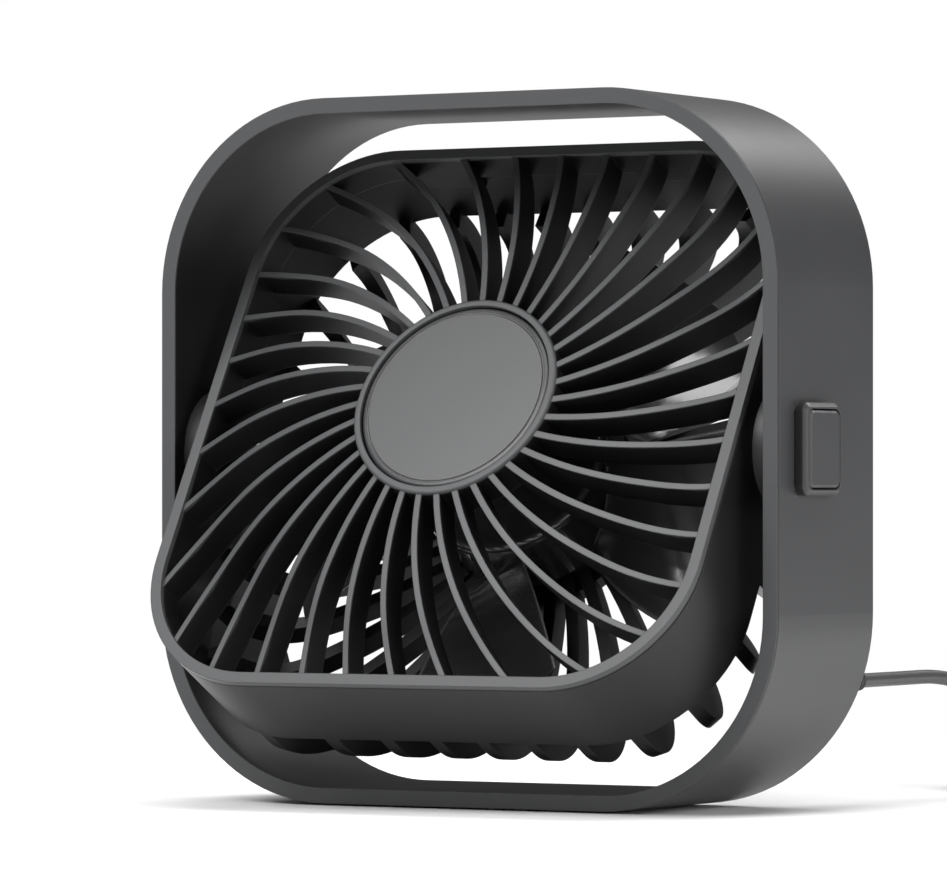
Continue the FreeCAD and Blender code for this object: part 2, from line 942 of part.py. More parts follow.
# The blades turn inside this drum. Its rear edge is cut off at 45 degrees, which keeps the blade
# tips clear of the rounded rear corner of the cage.
blade_drum = Part.makeCylinder(
    size("blade_tip"), size("rotor_depth"), Vector(0, rotor_front, 0), axis
)
rotor_back = rotor_front + size("rotor_depth")
drum_edge = [e for e in blade_drum.Edges if e.BoundBox.YMin > rotor_back - 1e-6]
blade = blade.common(blade_drum.makeChamfer(size("blade_trim"), drum_edge))
blades = []
for number in range(int(size("blade_count"))):
    copy = blade.copy()
    copy.rotate(axis_point, axis, number * 360.0 / size("blade_count") + size("blade_turn"))
    blades.append(copy)
impeller = hub_cup.fuse(blades).cut(cup_hollow).removeSplitter()
feature("impeller", impeller, HEAD)

yoke_radius = rotor_radius - size("rotor_wall")
yoke_start = rotor_front + size("rotor_wall")
yoke_depth = size("rotor_depth") - size("rotor_wall") - size("rotor_step")
yoke = Part.makeCylinder(yoke_radius, yoke_depth, Vector(0, yoke_start, 0), axis)
yoke = yoke.cut(
    Part.makeCylinder(
        yoke_radius - size("yoke_wall"),
        yoke_depth,
        Vector(0, yoke_start + size("yoke_wall"), 0),
        axis,
    )
)
yoke = yoke.cut(Part.makeCylinder(size("shaft_radius"), yoke_depth, Vector(0, yoke_start, 0), axis))
feature("rotor_yoke", yoke, HEAD)

magnet_start = yoke_start + size("yoke_wall")
magnet_depth = yoke_depth - size("yoke_wall") - size("rotor_step")
magnet_radius = yoke_radius - size("yoke_wall")
magnet = Part.makeCylinder(magnet_radius, magnet_depth, Vector(0, magnet_start, 0), axis).cut(
    Part.makeCylinder(
        magnet_radius - size("magnet_wall"), magnet_depth, Vector(0, magnet_start, 0), axis
    )
)
feature("magnet_ring", magnet, HEAD)
shaft = Part.makeCylinder(
    size("shaft_radius"), base_front - yoke_start - size("shaft_gap"), Vector(0, yoke_start, 0), axis
)
feature("rotor_shaft", shaft, HEAD)


# ---- cord: grommet and strain relief, lead, coil, tie, tail ----------------------------------------

cord_radius = size("cord_diameter") / 2
gland_at = Vector(gland_start.x, gland_start.y, size("gland_rise"))
gland = Part.makeCylinder(size("gland_radius"), size("gland_length"), gland_at, axis)
feature("cord_gland", gland)
relief = Part.makeCone(
    size("relief_root"),
    size("relief_tip"),
    size("relief_length"),
    gland_at + axis * size("gland_length"),
    axis,
)
feature("strain_relief", relief)

# The lead leaves level, falls to the floor behind the frame and runs into the coil's lowest turn.
exit_end = gland_at + axis * (size("gland_length") + size("relief_length"))
lead_route = [
    exit_end,
    exit_end + Vector(0.0, 19.0, 0.0),
    exit_end + Vector(1.0, 38.0, 0.2),
    exit_end + Vector(5.1, 55.0, -4.5),
    exit_end + Vector(11.1, 70.0, -13.5),
    exit_end + Vector(18.1, 83.5, -21.4),
    exit_end + Vector(22.1, 97.0, -24.4),
]
coil_outer = size("coil_radius") + size("coil_width") / 2
coil_inner = size("coil_radius") - size("coil_width") / 2
turn_radius = coil_outer - size("coil_cover") - cord_radius
coil_middle = Vector(lead_route[-1].x - turn_radius, lead_route[-1].y, 0)
tail_start = Vector(lead_route[-1].x, lead_route[-1].y, 10.4)
tail_route = [
    tail_start,
    tail_start + Vector(0.0, 7.5, -0.8),
    tail_start + Vector(0.0, 16.0, -4.0),
    tail_start + Vector(-5.25, 25.1, -6.2),
    tail_start + Vector(-14.3, 30.9, -6.6),
    tail_start + Vector(-25.0, 30.9, -6.6),
]


def cord_path(points):
    """Straight runs through the points, each corner rounded by a tangent arc."""
    edges = []
    radii = []
    at = points[0]
    for before, corner, after in zip(points, points[1:], points[2:]):
        into = corner - before
        out = after - corner
        run = min(into.Length, out.Length) * 0.45
        half_turn = into.getAngle(out) / 2
        radii.append(run / math.tan(half_turn))
        start = corner - into.normalize() * run
        end = corner + out.normalize() * run
        bisector = (start + end) * 0.5 - corner
        reach = radii[-1] / math.cos(half_turn) - radii[-1]
        edges.append(Part.makeLine(at, start))
        edges.append(Part.Arc(start, corner + bisector.normalize() * reach, end).toShape())
        at = end
    edges.append(Part.makeLine(at, points[-1]))
    return Part.Wire(edges), radii


def cord_tube(points):
    """A round tube along a route, with its length and its bend radii."""
    path, radii = cord_path(points)
    ring = Part.Wire(Part.makeCircle(cord_radius, points[0], points[1] - points[0]))
    tube = path.makePipeShell([ring], True, False, 1)
    return tube, path.Length, radii


lead, lead_length, lead_radii = cord_tube(lead_route)
tail, tail_length, tail_radii = cord_tube(tail_route)
print("lead", round(lead_length, 1), "radii", [round(r, 1) for r in lead_radii])
print("tail", round(tail_length, 1), "radii", [round(r, 1) for r in tail_radii])

coil = Part.makeCylinder(coil_outer, size("coil_height"), coil_middle)
coil = coil.cut(Part.makeCylinder(coil_inner, size("coil_height"), coil_middle))
coil = coil.cut(lead).cut(tail)
feature("cord_lead", lead)
feature("cord_coil", coil)
feature("cord_tail", tail)

tie_outer = Part.makeBox(
    size("tie_width"),
    size("coil_width") + 2 * size("tie_wall"),
    size("coil_height") + size("tie_wall"),
    coil_middle + Vector(-size("tie_width") / 2, coil_inner - size("tie_wall"), 0),
)
tie = tie_outer.cut(Part.makeCylinder(coil_outer, size("coil_height"), coil_middle)).fuse(
    tie_outer.common(Part.makeCylinder(coil_inner, size("coil_height"), coil_middle))
)
feature("cord_tie", tie.removeSplitter())


# ---- plug: neck, moulded body, steel shell with its windows, tongue and contacts -------------------

PLUG = Placement(tail_route[-1], Rotation(axis, tail_route[-1] - tail_route[-2]))
body_start = size("neck_length")
shell_from = body_start + size("plug_length")


def block(width, length, height, near_y, round_by):
    """A block about the Y axis, from y = near_y onwards, its long edges rounded."""
    solid = Part.makeBox(width, length, height, Vector(-width / 2, near_y, -height / 2))
    long_edges = [e for e in solid.Edges if e.BoundBox.YLength > length / 2]
    return solid.makeFillet(round_by, long_edges)


neck_size = (size("neck_width"), size("neck_length"), size("neck_height"))
feature("plug_neck", block(*neck_size, 0, size("neck_round")), PLUG)
body_size = (size("plug_width"), size("plug_length"), size("plug_height"))
feature("plug_body", block(*body_size, body_start, size("plug_round")), PLUG)

wall = size("usb_wall")
inner_round = size("usb_round") - wall / 2
steel_size = (size("usb_width"), size("usb_length"), size("usb_height"))
steel = block(*steel_size, shell_from, size("usb_round"))
hollow_size = (size("usb_width") - 2 * wall, size("usb_length"), size("usb_height") - 2 * wall)
steel = steel.cut(block(*hollow_size, shell_from, inner_round))
window = size("usb_window")
for side in (-1, 1):
    corner = Vector(
        side * size("usb_window_side") - window / 2,
        shell_from + size("usb_window_along") - window / 2,
        -size("usb_height"),
    )
    steel = steel.cut(Part.makeBox(window, window, size("usb_height") * 2, corner))
feature("usb_shell", steel, PLUG)

tongue_width = size("usb_width") - 2 * (wall + inner_round)
tongue_under = size("usb_height") / 2 - wall - size("tongue_height")
tongue = Part.makeBox(
    tongue_width,
    size("usb_length") - size("tongue_recess"),
    size("tongue_height"),
    Vector(-tongue_width / 2, shell_from, tongue_under),
)
feature("usb_tongue", tongue, PLUG)
contacts = []
for number in range(int(size("contact_count"))):
    across = (number - (size("contact_count") - 1) / 2) * size("contact_pitch")
    contacts.append(
        Part.makeBox(
            size("contact_width"),
            size("usb_length") * 0.6,
            size("contact_depth"),
            Vector(
                across - size("contact_width") / 2,
                shell_from + size("usb_length") * 0.2,
                tongue_under - size("contact_depth"),
            ),
        )
    )
feature("usb_contacts", Part.makeCompound(contacts), PLUG)


# ---- check every object and write each sub-part -----------------------------------------------------

doc.recompute()
for obj in doc.Objects:
    if "Invalid" in obj.State or "Error" in obj.State:
        raise RuntimeError("%s is in state %s" % (obj.Label, obj.State))
os.makedirs("parts", exist_ok=True)
for obj in finished:
    if obj.Shape.isNull() or not obj.Shape.isValid():
        raise RuntimeError("%s has no valid shape" % obj.Label)
    obj.Shape.exportStep("parts/%s.step" % obj.Label)
    print(obj.Label, len(obj.Shape.Solids), round(obj.Shape.Volume / 1000, 3), "cm3")
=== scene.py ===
import math

import bpy
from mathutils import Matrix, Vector


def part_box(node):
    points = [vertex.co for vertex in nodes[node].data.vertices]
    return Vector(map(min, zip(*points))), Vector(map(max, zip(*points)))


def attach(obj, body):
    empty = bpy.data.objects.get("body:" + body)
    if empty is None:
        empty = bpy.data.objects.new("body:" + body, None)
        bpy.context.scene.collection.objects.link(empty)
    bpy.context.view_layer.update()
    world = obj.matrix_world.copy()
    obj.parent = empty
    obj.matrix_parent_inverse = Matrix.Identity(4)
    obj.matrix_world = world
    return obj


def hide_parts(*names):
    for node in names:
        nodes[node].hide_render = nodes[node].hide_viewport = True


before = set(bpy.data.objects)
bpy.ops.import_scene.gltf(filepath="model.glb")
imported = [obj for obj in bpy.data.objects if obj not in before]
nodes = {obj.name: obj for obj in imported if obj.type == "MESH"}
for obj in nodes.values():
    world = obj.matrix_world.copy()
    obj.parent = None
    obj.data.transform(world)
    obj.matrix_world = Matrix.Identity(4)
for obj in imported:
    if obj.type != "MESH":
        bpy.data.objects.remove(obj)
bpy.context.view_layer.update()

bpy.ops.object.select_all(action="DESELECT")


# ---- camera --------------------------------------------------------------------------------------
# A long lens a little over a metre away, level with the middle of the head and round to the
# fan's right, so the button side shows. The shift frames the fan without tilting the camera.
round_to_the_right = math.radians(30.37)
bpy.ops.object.camera_add(
    location=(0.6403, -1.0979, 0.06376), rotation=(math.radians(90), 0, round_to_the_right)
)
camera = bpy.context.object
camera.data.lens = 233.2
camera.data.sensor_width = 36.0
camera.data.shift_x = -0.0275
camera.data.shift_y = 0.0616
camera.data.clip_start = 0.05
camera.data.clip_end = 30.0
bpy.context.scene.camera = camera


# ---- cord ----------------------------------------------------------------------------------------
# One length of 3 mm jacketed two-core lead. It leaves the frame's rear corner level, falls to the
# table, and is wound into a tied coil with its plug beside it. Lengths are in metres.
cord_radius = 0.0015
lead_points = [
    (0.0654, 0.029, 0.026),
    (0.0654, 0.048, 0.026),
    (0.0664, 0.067, 0.0262),
    (0.0705, 0.084, 0.0215),
    (0.0765, 0.099, 0.0125),
    (0.0835, 0.1125, 0.0046),
]
tail_points = [
    (0.0875, 0.1335, 0.0098),
    (0.0875, 0.142, 0.0064),
    (0.08225, 0.1511, 0.0042),
    (0.0732, 0.1569, 0.0038),
    (0.0625, 0.1569, 0.0038),
]
coil_centre = Vector((0.06645, 0.126, 0.0))
outer_turn = 0.02105
turn_step = 0.00305
layer_step = 0.00302
lowest_layer = 0.00158
winding_step = 10
winding_end = 3240
stepping_angle = 60


def smooth_step(share):
    """0 to 1 with level ends."""
    share = min(max(share, 0.0), 1.0)
    return share * share * (3 - 2 * share)


# Nine turns are wound side by side in layers. A turn steps sideways over the first 60 degrees, and
# a new layer starts between 180 and 240 degrees, where no neighbour is moving.
side_steps = [(360, 1), (720, 1), (1080, -1), (1440, -1), (1800, 1), (2160, 1), (2520, -1), (2880, -1)]
rises = [900, 1620, 2340]
coil_points = []
for angle in range(0, winding_end + 1, winding_step):
    inwards = sum(way * smooth_step((angle - at) / stepping_angle) for at, way in side_steps)
    layers = sum(smooth_step((angle - at) / stepping_angle) for at in rises)
    radius = outer_turn - inwards * turn_step
    turn = math.radians(angle)
    coil_points.append(
        (
            coil_centre.x + radius * math.cos(turn),
            coil_centre.y + radius * math.sin(turn),
            lowest_layer + layers * layer_step,
        )
    )
cord_line = bpy.data.curves.new("cord", "CURVE")
cord_line.dimensions = "3D"
spline = cord_line.splines.new("NURBS")
route = lead_points + coil_points + tail_points
spline.points.add(len(route) - 1)
# Each point carries the tube's radius, so that the curve's box is the cord's own.
for control, place in zip(spline.points, route):
    control.co = (*place, 1.0)
    control.radius = cord_radius
spline.order_u = 3
spline.use_endpoint_u = True
spline.resolution_u = 6
cord_line.bevel_depth = 1.0
cord_line.bevel_resolution = 5
cord_line.use_fill_caps = True
cord = bpy.data.objects.new("cord", cord_line)
bpy.context.scene.collection.objects.link(cord)
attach(cord, "frame")
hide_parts("cord_lead", "cord_coil", "cord_tail")

# ---- frame ---------------------------------------------------------------------------------------
# An outer skin and an inner liner, injection moulded in spark-eroded steel and snapped
# together. The tool leaves a fine even grain. The liner is painted much darker than the skin,
# as painted shade inside the frame, and its front edge is painted lighter as a painted highlight.
# A group of nodes for each effect follows: the grain, edges polished by handling, and dust.
grain = bpy.data.node_groups.new("moulded_grain", "ShaderNodeTree")
for name, value in (("Grains per metre", 3000.0), ("Grain height", 4e-6), ("Edge radius", 0.0003),
                    ("Roughness", 0.45), ("Spread", 0.1)):
    socket = grain.interface.new_socket(name, in_out="INPUT", socket_type="NodeSocketFloat")
    socket.default_value = value
grain.interface.new_socket("Roughness", in_out="OUTPUT", socket_type="NodeSocketFloat")
grain.interface.new_socket("Normal", in_out="OUTPUT", socket_type="NodeSocketVector")
grain.interface.new_socket("Mottle", in_out="OUTPUT", socket_type="NodeSocketFloat")
given = grain.nodes.new("NodeGroupInput")
result = grain.nodes.new("NodeGroupOutput")
where = grain.nodes.new("ShaderNodeTexCoord")
pits = grain.nodes.new("ShaderNodeTexNoise")
pits.inputs["Detail"].default_value = 2.0
softened = grain.nodes.new("ShaderNodeBevel")
softened.samples = 4
relief = grain.nodes.new("ShaderNodeBump")
patches = grain.nodes.new("ShaderNodeTexNoise")
patches.inputs["Scale"].default_value = 38.0
patches.inputs["Detail"].default_value = 5.0
centred = grain.nodes.new("ShaderNodeMath")
centred.operation = "SUBTRACT"
centred.inputs[1].default_value = 0.5
spread = grain.nodes.new("ShaderNodeMath")
spread.operation = "MULTIPLY_ADD"
join = grain.links.new
join(where.outputs["Object"], pits.inputs["Vector"])
join(given.outputs["Grains per metre"], pits.inputs["Scale"])
join(given.outputs["Edge radius"], softened.inputs["Radius"])
join(pits.outputs["Fac"], relief.inputs["Height"])
join(given.outputs["Grain height"], relief.inputs["Distance"])
join(softened.outputs["Normal"], relief.inputs["Normal"])
join(relief.outputs["Normal"], result.inputs["Normal"])
join(where.outputs["Object"], patches.inputs["Vector"])
join(patches.outputs["Fac"], centred.inputs[0])
join(centred.outputs["Value"], spread.inputs[0])
join(given.outputs["Spread"], spread.inputs[1])
join(given.outputs["Roughness"], spread.inputs[2])
join(spread.outputs["Value"], result.inputs["Roughness"])
join(patches.outputs["Fac"], result.inputs["Mottle"])

wear = bpy.data.node_groups.new("polished_edges", "ShaderNodeTree")
for name, value in (("Edge radius", 0.0006), ("Strength", 4.0)):
    socket = wear.interface.new_socket(name, in_out="INPUT", socket_type="NodeSocketFloat")
    socket.default_value = value
wear.interface.new_socket("Mask", in_out="OUTPUT", socket_type="NodeSocketFloat")
given = wear.nodes.new("NodeGroupInput")
result = wear.nodes.new("NodeGroupOutput")
rounded = wear.nodes.new("ShaderNodeBevel")
rounded.samples = 4
flat = wear.nodes.new("ShaderNodeNewGeometry")
alike = wear.nodes.new("ShaderNodeVectorMath")
alike.operation = "DOT_PRODUCT"
edge = wear.nodes.new("ShaderNodeMath")
edge.operation = "SUBTRACT"
edge.inputs[0].default_value = 1.0
where = wear.nodes.new("ShaderNodeTexCoord")
rubbed = wear.nodes.new("ShaderNodeTexNoise")
rubbed.inputs["Scale"].default_value = 260.0
rubbed.inputs["Detail"].default_value = 3.0
uneven = wear.nodes.new("ShaderNodeMath")
uneven.operation = "MULTIPLY"
stronger = wear.nodes.new("ShaderNodeMath")
stronger.operation = "MULTIPLY"
stronger.use_clamp = True
join = wear.links.new
join(given.outputs["Edge radius"], rounded.inputs["Radius"])
join(rounded.outputs["Normal"], alike.inputs[0])
join(flat.outputs["Normal"], alike.inputs[1])
join(alike.outputs["Value"], edge.inputs[1])
join(where.outputs["Object"], rubbed.inputs["Vector"])
join(edge.outputs["Value"], uneven.inputs[0])
join(rubbed.outputs["Fac"], uneven.inputs[1])
join(uneven.outputs["Value"], stronger.inputs[0])
join(given.outputs["Strength"], stronger.inputs[1])
join(stronger.outputs["Value"], result.inputs["Mask"])

dust = bpy.data.node_groups.new("settled_dust", "ShaderNodeTree")
socket = dust.interface.new_socket("Amount", in_out="INPUT", socket_type="NodeSocketFloat")
socket.default_value = 0.05
dust.interface.new_socket("Mask", in_out="OUTPUT", socket_type="NodeSocketFloat")
given = dust.nodes.new("NodeGroupInput")
result = dust.nodes.new("NodeGroupOutput")
flat = dust.nodes.new("ShaderNodeNewGeometry")
split = dust.nodes.new("ShaderNodeSeparateXYZ")
upward = dust.nodes.new("ShaderNodeMapRange")
upward.inputs["From Min"].default_value = 0.2
where = dust.nodes.new("ShaderNodeTexCoord")
specks = dust.nodes.new("ShaderNodeTexNoise")
specks.inputs["Scale"].default_value = 900.0
specks.inputs["Detail"].default_value = 4.0
lying = dust.nodes.new("ShaderNodeMath")
lying.operation = "MULTIPLY"
amount = dust.nodes.new("ShaderNodeMath")
amount.operation = "MULTIPLY"
join = dust.links.new
join(flat.outputs["Normal"], split.inputs["Vector"])
join(split.outputs["Z"], upward.inputs["Value"])
join(where.outputs["Object"], specks.inputs["Vector"])
join(upward.outputs["Result"], lying.inputs[0])
join(specks.outputs["Fac"], lying.inputs[1])
join(lying.outputs["Value"], amount.inputs[0])
join(given.outputs["Amount"], amount.inputs[1])
join(amount.outputs["Value"], result.inputs["Mask"])


def moulded(name, dark, light, worn, rough, spread, grains, height, edge, dusty):
    """A moulded plastic: two shades in soft patches, polished edges, dust, grain."""
    material = bpy.data.materials.new(name)
    material.use_nodes = True
    tree = material.node_tree
    shader = tree.nodes["Principled BSDF"]
    surface = tree.nodes.new("ShaderNodeGroup")
    surface.node_tree = grain
    surface.inputs["Grains per metre"].default_value = grains
    surface.inputs["Grain height"].default_value = height
    surface.inputs["Edge radius"].default_value = edge
    surface.inputs["Roughness"].default_value = rough
    surface.inputs["Spread"].default_value = spread
    edges = tree.nodes.new("ShaderNodeGroup")
    edges.node_tree = wear
    edges.inputs["Edge radius"].default_value = edge * 2
    film = tree.nodes.new("ShaderNodeGroup")
    film.node_tree = dust
    film.inputs["Amount"].default_value = dusty
    last = None
    for colour, mask in ((light, surface.outputs["Mottle"]), (worn, edges.outputs["Mask"]),
                         ((0.42, 0.4, 0.37), film.outputs["Mask"])):
        mix = tree.nodes.new("ShaderNodeMix")
        mix.data_type = "RGBA"
        mix.inputs[7].default_value = (*colour, 1)
        if last:
            tree.links.new(last.outputs[2], mix.inputs[6])
        else:
            mix.inputs[6].default_value = (*dark, 1)
        tree.links.new(mask, mix.inputs[0])
        last = mix
    tree.links.new(last.outputs[2], shader.inputs["Base Color"])
    tree.links.new(surface.outputs["Roughness"], shader.inputs["Roughness"])
    tree.links.new(surface.outputs["Normal"], shader.inputs["Normal"])
    return material


def lighter_where(material, height, low, high, colour, rough):
    """Lays a lighter satin over a plastic where a height node's value passes from low to high."""
    tree = material.node_tree
    shader = tree.nodes["Principled BSDF"]
    band = tree.nodes.new("ShaderNodeMapRange")
    band.inputs["From Min"].default_value = low
    band.inputs["From Max"].default_value = high
    tree.links.new(height, band.inputs["Value"])
    for target, value, kind, first, second, out in (("Base Color", (*colour, 1), "RGBA", 6, 7, 2),
                                                    ("Roughness", rough, "FLOAT", 2, 3, 0)):
        mix = tree.nodes.new("ShaderNodeMix")
        mix.data_type = kind
        mix.inputs[second].default_value = value
        tree.links.new(shader.inputs[target].links[0].from_socket, mix.inputs[first])
        tree.links.new(band.outputs["Result"], mix.inputs[0])
        tree.links.new(mix.outputs[out], shader.inputs[target])


def reach_along(material, direction, start=(0, 0, 0)):
    """Node outputs: how far the surface lies along a direction from start, and its offset."""
    tree = material.node_tree
    place = tree.nodes.new("ShaderNodeTexCoord")
    offset = tree.nodes.new("ShaderNodeVectorMath")
    offset.operation = "SUBTRACT"
    offset.inputs[1].default_value = start
    depth = tree.nodes.new("ShaderNodeVectorMath")
    depth.operation = "DOT_PRODUCT"
    depth.inputs[1].default_value = direction
    tree.links.new(place.outputs["Object"], offset.inputs[0])
    tree.links.new(offset.outputs["Vector"], depth.inputs[0])
    return depth.outputs["Value"], offset.outputs["Vector"]


def finish_in(material, *names):
    """Gives CAD nodes a material."""
    for name in names:
        nodes[name].data.materials.clear()
        nodes[name].data.materials.append(material)


frame_plastic = moulded("frame_plastic", (0.028, 0.0285, 0.03), (0.036, 0.0365, 0.039),
                        (0.085, 0.086, 0.09), 0.42, 0.12, 3200, 5e-6, 0.0003, 0.03)
finish_in(frame_plastic, "frame_skin")
# The liner's colour is painted shade: far darker than the skin, for the inside of the frame.
liner_painted_shade_and_highlight = moulded("liner_painted_shade_and_highlight", (0.005, 0.005, 0.0055), (0.008, 0.008, 0.0085),
                        (0.03, 0.03, 0.031), 0.5, 0.12, 3200, 5e-6, 0.0003, 0.02)
liner_painted_shade_and_highlight.node_tree.nodes["Principled BSDF"].inputs["Specular IOR Level"].default_value = 0.25
# A lighter satin along the liner's front edge is a painted highlight.
front_of_frame = -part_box("frame_liner")[0].y
lighter_where(liner_painted_shade_and_highlight, reach_along(liner_painted_shade_and_highlight, (0, -1, 0))[0], front_of_frame - 0.0006,
              front_of_frame - 0.0002, (0.06, 0.061, 0.063), 0.42)
finish_in(liner_painted_shade_and_highlight, "frame_liner")


# ---- feet ----------------------------------------------------------------------------------------
# Three strips of black nitrile rubber pressed into pockets under the base. Each has fine ribs
# across it so that it grips the table.
rubber_black = moulded("rubber_black", (0.012, 0.012, 0.012), (0.020, 0.020, 0.020), (0.04, 0.04, 0.04),
                       0.75, 0.15, 2200, 1.2e-5, 0.0003, 0.08)
low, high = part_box("foot_strips")
strip_width = 0.005
rib_pitch = 0.002
groove_width = 0.0009
groove_depth = 0.0003
rib_height = 0.0004
ribs_each_side = 10
strip_middles = (low.y + strip_width / 2, 0.0, high.y - strip_width / 2)
bpy.ops.mesh.primitive_cube_add(size=1.0, location=(0, 0, (low.z + high.z) / 2))
foot = bpy.context.object
foot.scale = (high.x - low.x, strip_width, high.z - low.z)
bpy.ops.object.transform_apply(location=True, rotation=True, scale=True)
bpy.ops.object.mode_set(mode="EDIT")
bpy.ops.mesh.subdivide(number_cuts=1)
bpy.ops.mesh.bisect(plane_co=(0, 0, low.z + rib_height), plane_no=(0, 0, 1))
for cut in range(-ribs_each_side, ribs_each_side + 1):
    for side in (0, groove_width):
        bpy.ops.mesh.select_all(action="SELECT")
        bpy.ops.mesh.bisect(plane_co=(cut * rib_pitch + side, 0, 0), plane_no=(1, 0, 0))
bpy.ops.object.mode_set(mode="OBJECT")
for corner in foot.data.vertices:
    in_groove = groove_width / 2 < (corner.co.x % rib_pitch) < groove_width * 1.5
    if corner.co.z < low.z + 1e-5 and in_groove:
        corner.co.z += groove_depth
bpy.ops.object.modifier_add(type="BEVEL")
foot.modifiers["Bevel"].width = 0.00015
foot.modifiers["Bevel"].segments = 2
foot.modifiers["Bevel"].limit_method = "ANGLE"
bpy.ops.object.modifier_apply(modifier="Bevel")
foot.data.materials.append(rubber_black)
for number, across in enumerate(strip_middles):
    strip = foot.copy()
    strip.data = foot.data.copy()
    strip.name = "foot_strip_%d" % (number + 1)
    bpy.context.scene.collection.objects.link(strip)
    for corner in strip.data.vertices:
        corner.co.y += across
    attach(strip, "frame")
    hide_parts("foot_strips")
bpy.data.objects.remove(foot)


# ---- pivots --------------------------------------------------------------------------------------
# A round pod moulded on each inner wall carries a hollow steel pin. A nylon washer between pod and
# head gives the friction that holds the tilt, and a sprung clip keeps the pin in.
inner_plastic = moulded("inner_plastic", (0.012, 0.012, 0.013), (0.018, 0.018, 0.019),
                        (0.04, 0.04, 0.04), 0.5, 0.12, 3000, 5e-6, 0.0003, 0.04)
finish_in(inner_plastic, "pivot_pod_left", "pivot_pod_right")
washer_plastic = moulded("washer_plastic", (0.5, 0.5, 0.47), (0.58, 0.58, 0.55), (0.6, 0.6, 0.58),
                         0.35, 0.1, 2500, 2e-6, 0.0002, 0.02)
finish_in(washer_plastic, "pivot_washer_left", "pivot_washer_right")


def bright_metal(name, dark, light, rough, spread, scratches, stretch):
    """A bare metal: fine drawn scratches along one axis and a soft change of shade."""
    material = moulded(name, dark, light, light, rough, spread, scratches, 1e-6, 0.00015, 0.0)
    tree = material.node_tree
    shader = tree.nodes["Principled BSDF"]
    shader.inputs["Metallic"].default_value = 1.0
    where = tree.nodes.new("ShaderNodeTexCoord")
    drawn_out = tree.nodes.new("ShaderNodeMapping")
    drawn_out.inputs["Scale"].default_value = stretch
    drawn = tree.nodes.new("ShaderNodeTexNoise")
    drawn.inputs["Scale"].default_value = scratches
    drawn.inputs["Detail"].default_value = 3.0
    depth = tree.nodes.new("ShaderNodeBump")
    depth.inputs["Distance"].default_value = 3e-6
    depth.inputs["Strength"].default_value = 0.6
    tree.links.new(where.outputs["Object"], drawn_out.inputs["Vector"])
    tree.links.new(drawn_out.outputs["Vector"], drawn.inputs["Vector"])
    tree.links.new(drawn.outputs["Fac"], depth.inputs["Height"])
    tree.links.new(shader.inputs["Normal"].links[0].from_socket, depth.inputs["Normal"])
    tree.links.new(depth.outputs["Normal"], shader.inputs["Normal"])
    return material


steel = bright_metal("steel", (0.50, 0.50, 0.51), (0.62, 0.62, 0.63), 0.26, 0.14, 4000, (0.06, 1, 1))
finish_in(steel, "pivot_pin_left", "pivot_pin_right", "pivot_clip_left", "pivot_clip_right")


# ---- power button --------------------------------------------------------------------------------
# A key of the frame's plastic in a raised bezel on the right wall. The bezel's sides are painted
# darker than its face as painted shade. A plunger behind the key presses a tact switch on a small board.
button_plastic = moulded("button_plastic", (0.030, 0.0305, 0.032), (0.038, 0.0385, 0.041),
                         (0.1, 0.1, 0.104), 0.38, 0.1, 3600, 3e-6, 0.0003, 0.04)
finish_in(button_plastic, "power_button")
# The bezel's near-black base is painted shade on its sides; its face is lifted back to the key's tone.
bezel_painted_shade = moulded("bezel_painted_shade", (0.006, 0.006, 0.0065), (0.009, 0.009, 0.0095), (0.03, 0.03, 0.031),
                        0.4, 0.1, 3600, 3e-6, 0.0003, 0.0)
bezel_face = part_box("button_bezel")[1].x
lighter_where(bezel_painted_shade, reach_along(bezel_painted_shade, (1, 0, 0))[0], bezel_face - 0.0007,
              bezel_face - 0.0002, (0.034, 0.0345, 0.036), 0.38)
finish_in(bezel_painted_shade, "button_bezel")
finish_in(inner_plastic, "tact_switch", "switch_plunger")
board_green = moulded("board_green", (0.01, 0.06, 0.025), (0.015, 0.09, 0.04), (0.1, 0.12, 0.06),
                      0.3, 0.1, 1500, 4e-6, 0.0001, 0.0)
finish_in(board_green, "switch_board")


# ---- motor ---------------------------------------------------------------------------------------
# A small brushless motor on the rear disc: a steel base plate, a board, nine wound teeth round a
# brass bearing sleeve, and three screws put in from the back.
finish_in(steel, "motor_base", "stator")
finish_in(board_green, "motor_board")
brass = bright_metal("brass", (0.50, 0.32, 0.11), (0.62, 0.42, 0.16), 0.3, 0.1, 4000, (1, 0.06, 1))
finish_in(brass, "bearing_sleeve")
finish_in(steel, "motor_screws")


# ---- impeller ------------------------------------------------------------------------------------
# Five wide blades and a hub cup moulded in one from glossy dark plastic. The cup is pressed over
# the motor's steel yoke with its ring magnet and shaft.
impeller_plastic = moulded("impeller_plastic", (0.02, 0.02, 0.021), (0.03, 0.03, 0.032), (0.12, 0.12, 0.12),
                           0.13, 0.06, 900, 1e-6, 0.0004, 0.02)
impeller_plastic.node_tree.nodes["Principled BSDF"].inputs["Coat Weight"].default_value = 0.5
impeller_plastic.node_tree.nodes["Principled BSDF"].inputs["Coat Roughness"].default_value = 0.08
finish_in(impeller_plastic, "impeller")
finish_in(steel, "rotor_yoke", "rotor_shaft")
magnet_grey = moulded("magnet_grey", (0.03, 0.03, 0.032), (0.045, 0.045, 0.047), (0.08, 0.08, 0.08),
                      0.55, 0.12, 2400, 8e-6, 0.0002, 0.0)
finish_in(magnet_grey, "magnet_ring")


# ---- head: rear shell, front grille and hub cap --------------------------------------------------
# Two mouldings that snap together: a rear shell with a cage of fins, and a front cover with a thin
# rim, 35 swept vanes and a hub ring. Both have a smoother satin than the frame, and a cap closes
# the hub ring.
# The head's plastic is painted far darker than the frame's: painted shade inside the frame.
head_plastic = moulded("head_plastic", (0.004, 0.004, 0.0045), (0.007, 0.007, 0.0075), (0.03, 0.03, 0.031),
                       0.42, 0.1, 3600, 3e-6, 0.0003, 0.02)
head_plastic.node_tree.nodes["Principled BSDF"].inputs["Specular IOR Level"].default_value = 0.35
finish_in(head_plastic, "rear_shell")
